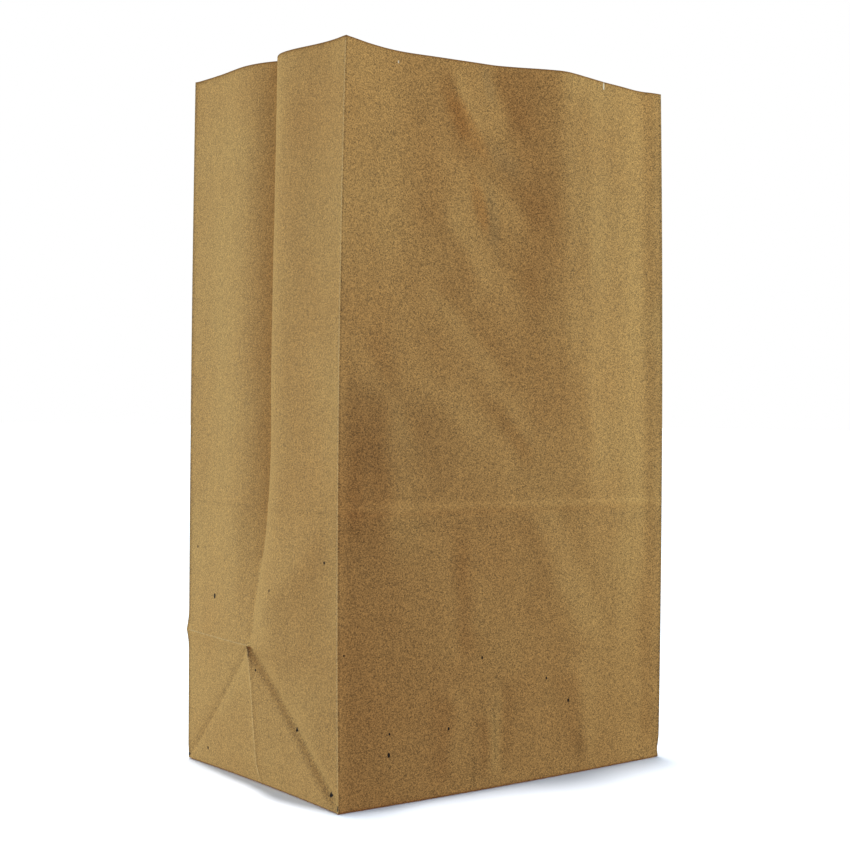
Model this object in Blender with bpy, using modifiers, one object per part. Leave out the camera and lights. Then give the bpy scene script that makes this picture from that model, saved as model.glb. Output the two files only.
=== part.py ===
"""Paper grocery bag: a gusseted, flat-bottomed sack of brown kraft paper, standing open.

One sheet, wrapped into a tube with a glued lap down the back and folded shut below.
The walls are a grid, laid out as the flat tube and then folded: four posts, a sharp
valley down each gusset, the two slanting folds from its apex to the base corners, the
fold across the back at the apex level and the line that the flat base has pressed into
the front and the gussets. The open end waves and the front is softly crumpled, as the
photo shows. Below, two flaps with slanting ends meet over two square flaps, as a parcel
is closed.

Metres, +Z up. The origin is the middle of the base, the front faces -Y.
"""

import math

import bmesh
import bpy
from mathutils import Vector

# Driving sizes
HEIGHT = 0.432
WIDTH = 0.254
DEPTH = 0.168
PAPER = 0.00015
FLAP_LAP = 0.024
SEAM_LAP = 0.026
SEAM_PLACE = 0.40

# Where the folds lie
APEX_LEVEL = DEPTH / 2 - 0.001
PRESS_LEVEL = DEPTH - 0.001
FOLDED_LEVEL = DEPTH + 0.040
FOLDING_EASE = 1.6
GUSSET_MOUTH = 0.478
GUSSET_APEX = 0.500

# How far the sheet stands out of its flat panels, outward positive; pairs are for the
# front and the back half of a gusset
VALLEY_DEPTH = 0.0070
APEX_PROUD = 0.0049
GUSSET_BULGE = (0.0088, 0.0060)
LOWER_BULGE = (0.0036, 0.0008)
BULGE_SKEW = 2.2
LOWER_SKEW = 1.3
FRONT_BELLY = 0.0040
BACK_BELLY = 0.0030
FOLD_RIDGE = 0.0007
FOLD_REACH = 0.014
NUB_OUT = 0.0010
PRESS_RIDGE = 0.0009
CREASE_REACH = 0.0045
FRONT_BOW = 0.0030
SIDE_BOW = 0.0022

# Lean of each post: outward shift along X and Y at the base, half way up and at the mouth
POST_SHIFT = {
    "near": ((0.0012, 0.0016), (0.0023, -0.0003), (-0.0022, -0.0037)),
    "right": ((0.0002, -0.0012), (0.0020, 0.0004), (-0.0048, -0.0009)),
    "far": ((0.0010, 0.0012), (0.0015, 0.0006), (-0.0026, -0.0030)),
    "left": ((-0.0015, 0.0030), (0.0008, 0.0002), (0.0004, -0.0006)),
}

# Wave of the open end: place along the panel and outward shift
FRONT_WAVE = (
    (0.00, 0.0000), (0.10, -0.0079), (0.19, -0.0116), (0.30, -0.0090), (0.42, -0.0052),
    (0.50, -0.0006), (0.565, 0.0060), (0.625, 0.0103), (0.70, 0.0078), (0.80, 0.0028),
    (0.89, 0.0008), (1.00, 0.0000),
)
BACK_WAVE = (
    (0.00, 0.0000), (0.16, 0.0026), (0.34, 0.0068), (0.50, 0.0034), (0.66, -0.0046),
    (0.82, -0.0060), (1.00, 0.0000),
)
WAVE_FOOT = 0.22
WAVE_DRIFT = 0.07

# Soft folds of the front: start and end as shares of its width and height, shift, reach
FRONT_FOLDS = (
    ((0.33, 0.97), (0.38, 0.92), 0.0021, 0.007),
    ((0.34, 0.88), (0.54, 0.79), -0.0018, 0.011),
    ((0.39, 0.79), (0.49, 0.70), -0.0013, 0.010),
    ((0.30, 0.68), (0.46, 0.58), -0.0018, 0.010),
    ((0.08, 0.60), (0.20, 0.49), -0.0017, 0.009),
    ((0.14, 0.52), (0.12, 0.38), 0.0044, 0.020),
    ((0.72, 0.95), (0.72, 0.42), 0.0016, 0.010),
    ((0.54, 0.37), (0.68, 0.20), 0.0020, 0.011),
    ((0.62, 0.38), (0.78, 0.22), -0.0012, 0.012),
    ((0.31, 0.34), (0.33, 0.20), -0.0016, 0.008),
    ((0.46, 0.13), (0.46, 0.03), -0.0016, 0.007),
    ((0.70, 0.13), (0.72, 0.02), 0.0023, 0.010),
)

# Folds of a gusset, from its front post, in the same form
GUSSET_FOLDS = (
    ((0.36, 0.252), (0.12, 0.332), 0.0046, 0.023),
    ((0.64, 0.37), (0.62, 0.24), 0.0012, 0.012),
)

# Sharp creases of a gusset: shift outward, reach inside the corner folds and outside them
CREASE_RUN_IN = 0.006
CORNER_CREASE = (-0.0030, 0.0085, 0.0095)
BACK_CORNER_CREASE = (-0.0006, 0.0075, 0.0075)
CENTRE_RISE = 0.0022
FOOT_PINCH = 0.7
VALLEY_CREASE = (-0.0014, 0.0090)

# Fineness of the grid
HALF_GUSSET_STEPS = 8
FRONT_STEPS = 28
BACK_STEPS = 14
UPPER_STEPS = 26

# Fit of the glued plies
BOND = 0.3 * PAPER
EDGE_INSET = 0.0006
FLAP_SPLIT = 0.0006

KRAFT_COLOUR = (0.36, 0.235, 0.105, 1.0)
KRAFT_ROUGHNESS = 0.85

BASE_LEVEL = 2 * PAPER - BOND
FLAP_REACH = (DEPTH + FLAP_LAP) / 2
PANELS = (
    ("front", "near", "right"),
    ("right_gusset", "right", "far"),
    ("back", "far", "left"),
    ("left_gusset", "left", "near"),
)
POST_SIDES = {"near": (-1, -1), "right": (1, -1), "far": (1, 1), "left": (-1, 1)}
PANEL_OUTWARD = {
    "front": (0, -1),
    "right_gusset": (1, 0),
    "back": (0, 1),
    "left_gusset": (-1, 0),
}


def blend(a, b, t):
    return a + (b - a) * t


def crease(distance, reach):
    """Sharp fade with a fold at no distance, 0 beyond the reach."""
    return max(0.0, 1 - abs(distance) / reach) ** 2


def smooth_curve(points, x):
    """Height at x of a smooth curve through the points."""
    last = len(points) - 1
    i = max(k for k in range(last) if points[k][0] <= x or k == 0)
    (x0, y0), (x1, y1) = points[i], points[i + 1]

    def slope(k):
        low, high = points[max(k - 1, 0)], points[min(k + 1, last)]
        return (high[1] - low[1]) / (high[0] - low[0])

    span = x1 - x0
    t = (x - x0) / span
    h = t * t * (3 - 2 * t)
    ease_in = t * (1 - t) ** 2
    ease_out = -t * t * (1 - t)
    return blend(y0, y1, h) + span * (ease_in * slope(i) + ease_out * slope(i + 1))


def post(name, z):
    """Plan point of a post at height z."""
    side_x, side_y = POST_SIDES[name]
    base, middle, mouth = POST_SHIFT[name]
    t = z / HEIGHT
    arch = 4 * t * (1 - t)
    nub = NUB_OUT * crease(z - APEX_LEVEL, FOLD_REACH) if side_y > 0 else 0.0
    shift = [blend(base[k], mouth[k], t) + arch * middle[k] for k in (0, 1)]
    x = side_x * (WIDTH / 2 + shift[0] + nub)
    y = side_y * (DEPTH / 2 + shift[1])
    return x, y


def arch_toward_fold(t, skew):
    """Bulge of half a gusset, 0 at the post and steep at the valley, where t is 1."""
    return math.sin(math.pi * t ** skew)


def above_apex(z):
    """1 at the apex and below, falling to 0 where the gusset is folded to its full depth."""
    return min(1.0, max(0.0, (FOLDED_LEVEL - z) / (FOLDED_LEVEL - APEX_LEVEL))) ** FOLDING_EASE


def gusset_fold(z):
    """Place across the gusset and outward shift of its valley, from the front post."""
    near_apex = above_apex(z)
    place = blend(GUSSET_MOUTH, GUSSET_APEX, near_apex)
    return place, blend(-VALLEY_DEPTH, APEX_PROUD, near_apex)


def gusset_shift(f, z):
    """Outward shift of a gusset at f across from its front post, at height z."""
    place, fold = gusset_fold(z)
    rise = min(1.0, z / APEX_LEVEL)
    foot = -SIDE_BOW * 4 * f * (1 - f)
    half = 0 if f < place else 1
    bulge = blend(GUSSET_BULGE[half], LOWER_BULGE[half], above_apex(z)) * rise
    skew = blend(BULGE_SKEW, LOWER_SKEW, above_apex(z))
    front_node = place * rise
    back_node = 1 - (1 - place) * rise
    node_out = blend(0.0, fold, rise)
    if f < front_node:
        t = f / front_node
    elif f > back_node:
        t = (1 - f) / (1 - back_node)
    else:
        return node_out + foot * (1 - rise)
    ridge = FOLD_RIDGE * crease(z - APEX_LEVEL, FOLD_REACH) if f > back_node else 0.0
    out = node_out * t + bulge * arch_toward_fold(t, skew) + ridge * min(1.0, 3 * (1 - t))
    return out + foot * (1 - rise)


def fold_shift(fold, place, up, width):
    """Outward shift of one long soft fold between two points of a panel."""
    (f0, t0), (f1, t1), shift, reach = fold
    start = Vector((f0 * width, t0 * HEIGHT))
    run = Vector((f1 * width, t1 * HEIGHT)) - start
    offset = Vector((place * width, up)) - start
    along = min(1.0, max(0.0, offset.dot(run) / run.length_squared))
    aside = (offset - run * along).length
    return shift * math.exp(-(aside / reach) ** 1.6)


def gusset_relief(f, z):
    """Soft folds, pressed line and sharp creases of a gusset, all outward."""
    place = gusset_fold(z)[0]
    calm = min(1.0, 6 * f * (1 - f))
    out = sum(fold_shift(fold, f, z, DEPTH) for fold in GUSSET_FOLDS) * calm
    if f < place:
        ends = min(1.0, 20 * f * (place - f))
        out += PRESS_RIDGE * crease(z - PRESS_LEVEL, CREASE_REACH) * ends
    if z > APEX_LEVEL:
        shift, reach = VALLEY_CREASE
        start = min(1.0, (z - APEX_LEVEL) / CREASE_RUN_IN)
        out += shift * start * above_apex(z) * crease((f - place) * DEPTH, reach)
    else:
        apex = GUSSET_APEX * DEPTH
        lines = ((0.0, CORNER_CREASE), (DEPTH, BACK_CORNER_CREASE))
        for foot, (shift, inside, outside) in lines:
            run = Vector((apex - foot, APEX_LEVEL)).normalized()
            aside = run.cross(Vector((f * DEPTH - foot, z)))
            reach = outside if aside * (apex - foot) > 0 else inside
            ends = min(1.0, min(z, APEX_LEVEL - z) / CREASE_RUN_IN)
            pinch = 1 + FOOT_PINCH * (1 - z / APEX_LEVEL)
            out += shift * crease(aside, reach) * ends * pinch
        half_width = (1 - z / APEX_LEVEL) * DEPTH / 2 + 1e-9
        tent = max(0.0, 1 - abs(f * DEPTH - apex) / half_width)
        out += CENTRE_RISE * tent * min(1.0, z / FOLD_REACH)
    return out


def wave_strength(z):
    """Strength of the open end's wave, fading in a straight line down the panel."""
    return max(0.0, z / HEIGHT - WAVE_FOOT) / (1 - WAVE_FOOT)


def front_shift(f, z):
    t = z / HEIGHT
    drift = WAVE_DRIFT * (1 - t) * 4 * f * (1 - f)
    wave = smooth_curve(FRONT_WAVE, min(1.0, max(0.0, f - drift))) * wave_strength(z)
    arch = 4 * f * (1 - f)
    belly = FRONT_BELLY * arch * math.sin(math.pi * min(1.0, t * 1.25)) ** 2
    bow = FRONT_BOW * arch * (1 - t) ** 2
    pressed = PRESS_RIDGE * crease(z - PRESS_LEVEL, CREASE_REACH)
    folds = sum(fold_shift(fold, f, z, WIDTH) for fold in FRONT_FOLDS)
    return wave + belly + bow + (pressed + folds * min(1.0, t * 20)) * min(1.0, 5 * arch)


def back_shift(f, z):
    t = z / HEIGHT
    arch = 4 * f * (1 - f)
    wave = smooth_curve(BACK_WAVE, f) * wave_strength(z)
    belly = BACK_BELLY * arch * math.sin(math.pi * min(1.0, t * 1.3)) ** 2
    fold = -FOLD_RIDGE * crease(z - APEX_LEVEL, FOLD_REACH) * min(1.0, 6 * arch)
    return wave + belly + fold


def wall_point(panel, f, z, lift=0.0):
    """Point of the folded sheet on a panel, f across it from its first post."""
    name, first, second = panel
    a, b = post(first, z), post(second, z)
    if name == "front":
        out = front_shift(f, z)
    elif name == "back":
        out = back_shift(f, z)
    else:
        from_front = 1 - f if name == "left_gusset" else f
        out = gusset_shift(from_front, z) + gusset_relief(from_front, z)
    nx, ny = PANEL_OUTWARD[name]
    x = blend(a[0], b[0], f) + nx * (out + lift)
    y = blend(a[1], b[1], f) + ny * (out + lift)
    return x, y, BASE_LEVEL + z * (HEIGHT - BASE_LEVEL) / HEIGHT


def gusset_columns(z, from_front):
    """Places across a gusset at height z: even steps on each side of its valley."""
    place = gusset_fold(z)[0]
    steps = HALF_GUSSET_STEPS
    front_half = [place * k / steps for k in range(steps)]
    back_half = [place + (1 - place) * k / steps for k in range(steps + 1)]
    columns = front_half + back_half
    return columns if from_front else [1 - f for f in reversed(columns)]


def seam_edges():
    """Places across the back panel of the two edges of the glued lap."""
    half = SEAM_LAP / WIDTH / 2
    return SEAM_PLACE - half, SEAM_PLACE + half


def back_columns():
    """Even places across the back, with one moved to each edge of the lap."""
    columns = [k / BACK_STEPS for k in range(BACK_STEPS + 1)]
    for edge in seam_edges():
        nearest = min(range(1, BACK_STEPS), key=lambda k: abs(columns[k] - edge))
        columns[nearest] = edge
    return columns


def panel_columns(name, z):
    if name == "back":
        return back_columns()
    if name == "front":
        return [k / FRONT_STEPS for k in range(FRONT_STEPS + 1)]
    return gusset_columns(z, from_front=(name == "right_gusset"))


def wall_levels():
    """Heights of the grid's rows: even below the apex, and around the pressed line."""
    below = [APEX_LEVEL * k / HALF_GUSSET_STEPS for k in range(HALF_GUSSET_STEPS + 1)]
    around = [PRESS_LEVEL - CREASE_REACH, PRESS_LEVEL, PRESS_LEVEL + CREASE_REACH]
    step = (HEIGHT - APEX_LEVEL) / UPPER_STEPS
    above = [APEX_LEVEL + step * k for k in range(1, UPPER_STEPS + 1)]
    clear = [z for z in above if min(abs(z - level) for level in around) > step / 3]
    return sorted(below + around + clear)


def ring_at(z):
    """Panel and place of every column of the tube at height z, once round."""
    ring = []
    for panel in PANELS:
        columns = panel_columns(panel[0], z)
        ring += [(panel, f) for f in columns[:-1]]
    return ring + [(PANELS[0], 0.0)]


def grid_mesh(name, columns, rows, place_vertex):
    """Grid of the given numbers of steps, each vertex placed by column and row."""
    bm = bmesh.new()
    bmesh.ops.create_grid(bm, x_segments=columns, y_segments=rows, size=1.0)
    for vert in bm.verts:
        i = round((vert.co.x + 1) / 2 * columns)
        j = round((vert.co.y + 1) / 2 * rows)
        vert.co = place_vertex(i, j)
    return bm


def split_along_fold(bm, low, high):
    """Gives the face between two opposite vertices an edge from one to the other."""
    face = next(f for f in low.link_faces if high in f.verts)
    if not any(high in edge.verts for edge in low.link_edges):
        bmesh.utils.face_split(face, low, high)


def nearest_vertex(bm, point):
    return min(bm.verts, key=lambda v: sum((v.co[k] - point[k]) ** 2 for k in range(3)))


def fold_slanting_creases(bm, levels):
    """Runs the folds from each gusset's apex to the base corners along mesh edges."""
    steps = HALF_GUSSET_STEPS
    for panel in (PANELS[1], PANELS[3]):
        for half in (0, 1):
            chain = []
            for k in range(steps + 1):
                columns = panel_columns(panel[0], levels[k])
                f = columns[k] if half == 0 else columns[-1 - k]
                chain.append(nearest_vertex(bm, wall_point(panel, f, levels[k])))
            for low, high in zip(chain, chain[1:]):
                split_along_fold(bm, low, high)


def new_object(name, bm, collection):
    mesh = bpy.data.meshes.new(name)
    bm.to_mesh(mesh)
    bm.free()
    obj = bpy.data.objects.new(name, mesh)
    collection.objects.link(obj)
    return obj


def add_thickness(obj, thickness, offset):
    solidify = obj.modifiers.new("paper", "SOLIDIFY")
    solidify.thickness = thickness
    solidify.offset = offset
    solidify.use_even_offset = True
    return obj


def build_walls(collection):
    """Walls and bottom as one sheet, open at the mouth, with the paper's thickness."""
    levels = wall_levels()
    rings = [ring_at(z) for z in levels]

    def place_vertex(i, j):
        panel, f = rings[j][i]
        return wall_point(panel, f, levels[j])

    bm = grid_mesh("walls", len(rings[0]) - 1, len(levels) - 1, place_vertex)
    bmesh.ops.remove_doubles(bm, verts=bm.verts[:], dist=1e-6)
    fold_slanting_creases(bm, levels)
    rim = [e for e in bm.edges if e.is_boundary and all(v.co.z < PAPER * 3 for v in e.verts)]
    bottom = bmesh.ops.edgeloop_fill(bm, edges=rim)["faces"]
    for face in bottom:
        face.normal_update()
        if face.normal.z > 0:
            face.normal_flip()
    return add_thickness(new_object("paper_bag", bm, collection), PAPER, -1.0)


def flat_ply(name, corners, level, thickness, collection):
    """Level ply with four corners, from its lower face at the given level."""

    def place_vertex(i, j):
        x, y = corners[i + 2 * j]
        return x, y, level

    bm = grid_mesh(name, 1, 1, place_vertex)
    bmesh.ops.recalc_face_normals(bm, faces=bm.faces[:])
    for face in bm.faces:
        if face.normal.z < 0:
            face.normal_flip()
    return add_thickness(new_object(name, bm, collection), thickness, 1.0)


def closing_flaps(collection):
    """The two outer flaps under the base, with slanting ends, front over back."""
    front_y = -DEPTH / 2 + EDGE_INSET
    back_y = DEPTH / 2 - EDGE_INSET
    split = FLAP_LAP / 2
    end_x = WIDTH / 2 - 2 * EDGE_INSET
    front_end = end_x - (split - front_y)
    back_start = split + FLAP_SPLIT
    back_end = end_x - (back_y - back_start)
    thickness = BASE_LEVEL + BOND
    front = [(-end_x, front_y), (end_x, front_y), (-front_end, split), (front_end, split)]
    back = [(-back_end, back_start), (back_end, back_start), (-end_x, back_y), (end_x, back_y)]
    return [
        flat_ply("front_flap", front, 0.0, thickness, collection),
        flat_ply("back_flap", back, 0.0, thickness, collection),
    ]


def end_flaps(collection):
    """The two square flaps that lie on the bottom inside the bag."""
    level = BASE_LEVEL + PAPER - BOND
    inset = PAPER + SIDE_BOW + 2 * EDGE_INSET
    half_depth = DEPTH / 2 - PAPER - 2 * EDGE_INSET
    flaps = []
    for side, name in ((-1, "left_flap"), (1, "right_flap")):
        outer = side * (WIDTH / 2 - inset)
        inner = side * (WIDTH / 2 - FLAP_REACH)
        low, high = min(outer, inner), max(outer, inner)
        corners = [(low, -half_depth), (high, -half_depth), (low, half_depth), (high, half_depth)]
        flaps.append(flat_ply(name, corners, level, PAPER + BOND, collection))
    return flaps


def seam_ply(collection):
    """The sheet's edge, lapped and glued down the outside of the back."""
    panel = PANELS[2]
    first, last = seam_edges()
    columns = [f for f in back_columns() if first - 1e-9 <= f <= last + 1e-9]
    levels = wall_levels()
    top = HEIGHT - EDGE_INSET
    heights = [APEX_LEVEL / HALF_GUSSET_STEPS / 4] + levels[1:-1] + [top]

    def place_vertex(i, j):
        return wall_point(panel, columns[i], heights[j], lift=PAPER - BOND)

    bm = grid_mesh("seam", len(columns) - 1, len(heights) - 1, place_vertex)
    return add_thickness(new_object("lapped_edge", bm, collection), PAPER, -1.0)


def kraft_paper():
    material = bpy.data.materials.new("kraft_paper")
    material.use_nodes = True
    shader = material.node_tree.nodes["Principled BSDF"]
    shader.inputs["Base Color"].default_value = KRAFT_COLOUR
    shader.inputs["Roughness"].default_value = KRAFT_ROUGHNESS
    shader.inputs["Metallic"].default_value = 0.0
    return material


def glue(bag, ply):
    """Fuses a ply to the bag and leaves it behind as a guide."""
    union = bag.modifiers.new(ply.name, "BOOLEAN")
    union.operation = "UNION"
    union.solver = "EXACT"
    union.object = ply
    ply.hide_render = True
    ply.display_type = "WIRE"


def main():
    for obj in list(bpy.data.objects):
        bpy.data.objects.remove(obj)
    parts = bpy.data.collections.new("paper_grocery_bag")
    plies = bpy.data.collections.new("glued_plies")
    for collection in (parts, plies):
        bpy.context.scene.collection.children.link(collection)
    bag = build_walls(parts)
    for ply in closing_flaps(plies) + end_flaps(plies) + [seam_ply(plies)]:
        glue(bag, ply)
    bag.data.materials.append(kraft_paper())


main()
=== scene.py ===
"""Looks of the paper grocery bag: fine folds of the sheet, kraft paper, studio and camera."""

import math

import bmesh
import bpy
from mathutils import Matrix, Vector, noise


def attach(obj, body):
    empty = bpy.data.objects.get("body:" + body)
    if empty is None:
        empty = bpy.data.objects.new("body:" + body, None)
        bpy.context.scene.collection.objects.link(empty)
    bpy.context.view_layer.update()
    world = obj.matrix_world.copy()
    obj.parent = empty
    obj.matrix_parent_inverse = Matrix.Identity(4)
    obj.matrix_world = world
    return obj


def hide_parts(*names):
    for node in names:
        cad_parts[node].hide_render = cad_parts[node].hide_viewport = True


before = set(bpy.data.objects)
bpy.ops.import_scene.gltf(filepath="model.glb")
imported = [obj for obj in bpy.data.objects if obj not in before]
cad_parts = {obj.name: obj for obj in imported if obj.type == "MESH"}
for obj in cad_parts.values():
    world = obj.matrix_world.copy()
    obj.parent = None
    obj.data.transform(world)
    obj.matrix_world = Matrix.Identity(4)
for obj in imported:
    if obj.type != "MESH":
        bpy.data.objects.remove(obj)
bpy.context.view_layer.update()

# Sizes of the bag, as the CAD has them, in metres
HEIGHT = 0.432
WIDTH = 0.254
DEPTH = 0.168
PAPER = 0.00015
FLAP_LAP = 0.024
SEAM_LAP = 0.026
SEAM_PLACE = 0.40

# Places round the flat sheet, from the near post
RIGHT_POST = WIDTH
RIGHT_FOLD = WIDTH + DEPTH / 2
FAR_POST = WIDTH + DEPTH
LEFT_POST = 2 * WIDTH + DEPTH
LEFT_FOLD = 2 * WIDTH + 1.5 * DEPTH
ROUND_TUBE = 2 * WIDTH + 2 * DEPTH

# Where the folds lie
APEX_LEVEL = DEPTH / 2 - 0.001
PRESS_LEVEL = DEPTH - 0.001
FOLDED_LEVEL = DEPTH + 0.040
FOLDING_EASE = 1.6
GUSSET_MOUTH = 0.478
GUSSET_APEX = 0.500

# How far the sheet stands out of its flat panels, outward positive, and the reach of its
# ridges and creases; pairs are for the front and the back half of a gusset
VALLEY_DEPTH = 0.0070
APEX_PROUD = 0.0049
GUSSET_BULGE = (0.0088, 0.0060)
LOWER_BULGE = (0.0036, 0.0008)
BULGE_SKEW = 2.2
LOWER_SKEW = 1.3
FRONT_BELLY = 0.0040
BACK_BELLY = 0.0030
FOLD_RIDGE = 0.0007
FOLD_REACH = 0.014
NUB_OUT = 0.0010
PRESS_RIDGE = 0.0009
CREASE_REACH = 0.0045
FRONT_BOW = 0.0030
SIDE_BOW = 0.0022
FRONT_BELLY_RISE = 1.25
BACK_BELLY_RISE = 1.3

# How fast folds and creases reach their full shift beside posts, valleys and the foot
PANEL_RUN_IN = 5
BACK_RUN_IN = 6
GUSSET_RUN_IN = 6
PRESS_RUN_IN = 20
FOOT_RUN_IN = 20
RIDGE_RUN_IN = 3

# Lean of each post: outward shift along X and Y at the base, half way up and at the mouth
POST_SHIFT = {
    "near": ((0.0012, 0.0016), (0.0023, -0.0003), (-0.0022, -0.0037)),
    "right": ((0.0002, -0.0012), (0.0020, 0.0004), (-0.0048, -0.0009)),
    "far": ((0.0010, 0.0012), (0.0015, 0.0006), (-0.0026, -0.0030)),
    "left": ((-0.0015, 0.0030), (0.0008, 0.0002), (0.0004, -0.0006)),
}

# Wave of the open end: place along the panel and outward shift
FRONT_WAVE = (
    (0.00, 0.0000), (0.10, -0.0079), (0.19, -0.0116), (0.30, -0.0090), (0.42, -0.0052),
    (0.50, -0.0006), (0.565, 0.0060), (0.625, 0.0103), (0.70, 0.0078), (0.80, 0.0028),
    (0.89, 0.0008), (1.00, 0.0000),
)
BACK_WAVE = (
    (0.00, 0.0000), (0.16, 0.0026), (0.34, 0.0068), (0.50, 0.0034), (0.66, -0.0046),
    (0.82, -0.0060), (1.00, 0.0000),
)

# Share of the height where the wave begins, and its drift along the panel further down
WAVE_FOOT = 0.22
WAVE_DRIFT = 0.07

# Soft folds of the front: start and end as shares of its width and height, shift, reach
FRONT_FOLDS = (
    ((0.33, 0.97), (0.38, 0.92), 0.0027, 0.007),
    ((0.44, 0.98), (0.49, 0.92), -0.0018, 0.008),
    ((0.34, 0.88), (0.54, 0.79), -0.0018, 0.011),
    ((0.30, 0.79), (0.40, 0.71), 0.0013, 0.009),
    ((0.39, 0.79), (0.49, 0.70), -0.0013, 0.010),
    ((0.30, 0.68), (0.46, 0.58), -0.0018, 0.010),
    ((0.24, 0.55), (0.36, 0.48), 0.0009, 0.009),
    ((0.36, 0.54), (0.50, 0.46), -0.0010, 0.009),
    ((0.46, 0.52), (0.54, 0.46), 0.0012, 0.008),
    ((0.08, 0.60), (0.20, 0.49), -0.0017, 0.009),
    ((0.14, 0.52), (0.12, 0.38), 0.0044, 0.020),
    ((0.72, 0.95), (0.72, 0.42), 0.0016, 0.010),
    ((0.54, 0.37), (0.68, 0.20), 0.0014, 0.012),
    ((0.62, 0.38), (0.78, 0.22), -0.0010, 0.013),
    ((0.31, 0.34), (0.33, 0.20), -0.0011, 0.009),
    ((0.36, 0.32), (0.37, 0.22), 0.0007, 0.008),
    ((0.41, 0.09), (0.42, 0.02), 0.0016, 0.006),
    ((0.46, 0.13), (0.46, 0.03), -0.0016, 0.007),
    ((0.70, 0.13), (0.72, 0.02), 0.0023, 0.010),
    ((0.30, 0.12), (0.29, 0.03), 0.0013, 0.008),
    ((0.93, 1.00), (0.93, 0.00), -0.0024, 0.015),
)

# Wander of the soft folds: how far, how fine, and where the noise of each axis is read
FOLD_WARP = 0.0050
FOLD_WARP_SIZE = 0.030
FOLD_WARP_SPOTS = (Vector((2.3, 6.1, 4.7)), Vector((9.4, 1.8, 5.2)))

# Power that shapes the sides of a soft fold
FOLD_SHAPE = 1.6

# Folds of a gusset, from its front post, in the same form
GUSSET_FOLDS = (
    ((0.36, 0.252), (0.12, 0.332), 0.0046, 0.023),
    ((0.64, 0.37), (0.62, 0.24), 0.0012, 0.012),
)

# Sharp creases of a gusset: shift outward, reach inside the corner folds and outside them
CREASE_RUN_IN = 0.006
CORNER_CREASE = (-0.0020, 0.0065, 0.0120)
BACK_CORNER_CREASE = (-0.0006, 0.0075, 0.0075)
CENTRE_CREASE = (0.0004, 0.0040, 0.0040)
CENTRE_RISE = 0.0022
FOOT_PINCH = 0.7
VALLEY_CREASE = (-0.0014, 0.0090)

# Rounded foot of the walls: its height and how far it draws in
ROLL = 0.0022
ROLL_INSET = 0.0010

# Fine relief that only the looks have
PINCH = 0.00035
PINCH_REACH = 0.0035
COCKLE = 0.00050
COCKLE_SIZE = 0.026
RIPPLE = 0.00011
RIPPLE_SIZE = 0.008
RIPPLE_SHIFT = Vector((7.0, 3.0, 1.0))
UPRIGHT_SHARE = 0.6
CALM_AT_POST = 0.004
CALM_AT_FOOT = 0.006

# Fineness of the grid, and rows at the foot and the pressed line as shares of their reach
HALF_GUSSET_STEPS = 40
PANEL_STEPS = 76
UPPER_STEPS = 104
FOOT_ROWS = (0.06, 0.25, 0.5)
PRESS_ROWS = (-1.0, -0.5, 0.0, 0.5, 1.0)
CLEAR_PART = 3
SHARP_ANGLE = math.radians(50)

# Reach within which points merge, and a length that keeps a divisor off zero
MERGE_REACH = 1e-6
TINY = 1e-9

# Fit of the glued plies
BOND = 0.3 * PAPER
EDGE_INSET = 0.0015
FLAP_SPLIT = 0.0006

BASE_LEVEL = 2 * PAPER - BOND
RIM_TOP = 3 * PAPER
FLAP_REACH = (DEPTH + FLAP_LAP) / 2
PANELS = (
    ("front", "near", "right"),
    ("right_gusset", "right", "far"),
    ("back", "far", "left"),
    ("left_gusset", "left", "near"),
)
POST_SIDES = {"near": (-1, -1), "right": (1, -1), "far": (1, 1), "left": (-1, 1)}
PANEL_OUTWARD = {
    "front": (0, -1),
    "right_gusset": (1, 0),
    "back": (0, 1),
    "left_gusset": (-1, 0),
}

# Colours of the paper, linear
KRAFT_LIGHT = (0.467, 0.278, 0.0915, 1.0)
KRAFT_WARM = (0.449, 0.252, 0.0795, 1.0)
FIBRE_PALE = (0.66, 0.50, 0.27, 1.0)
FIBRE_DARK = (0.17, 0.085, 0.03, 1.0)
BARK_DARK = (0.06, 0.03, 0.015, 1.0)
# Near black of the bark specks, also used for the painted shade in the apex slits
SPECK_AND_SLIT_SHADE_COLOUR = (0.010, 0.006, 0.004, 1.0)
NICK_PALE = (0.85, 0.78, 0.62, 1.0)
EDGE_BROWN = (0.20, 0.075, 0.012, 1.0)

# Noises of the paper: cells in a metre, detail, roughness
CLOUDS = (14.0, 3.0, 0.55)
MOTTLE = (150.0, 4.0, 0.65)
STREAKS = (420.0, 2.0, 0.6)
FIBRES = (900.0, 2.0, 0.7)
GRAIN = (1300.0, 0.0, 0.5)
FLAKE_CELLS = 1900.0
STREAK_STRETCH = (1.0, 1.0, 0.10)
FIBRE_STRETCH = (0.22, 0.22, 1.0)

# Ranges that the noises are read over, and how much they lighten and darken the paper
CLOUD_RANGE = (0.3, 0.7)
NOISE_RANGE = (0.25, 0.75)
MOTTLE_GAIN = 0.03
GRAIN_GAIN = 0.20
DARKEST_GRAIN = 0.08

# Strength of the flakes on the gussets and on the wide panels, told apart by their normal; the wide
# panels' stronger flakes are painted light and shade of the relief under grazing lamps
NORMAL_RANGE = (0.4, 0.9)
FLAKE_GAIN = (0.31, 0.45)

# Share of pale fibre on worn creases: range of the grain, and shares at its ends
WORN_FIBRE = (0.35, 0.6, 0.10, 0.50)

# Relief and gloss: height of the bump, shares in it, roughness over a range of the grain
GRAIN_HEIGHT = 0.00010
BUMP_STRENGTH = 0.7
FIBRE_RELIEF = 0.5
WORN_RELIEF = -0.8
GRAIN_ROUGHNESS = (0.3, 0.7, 0.78, 0.92)
GLOSS = 0.25

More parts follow.
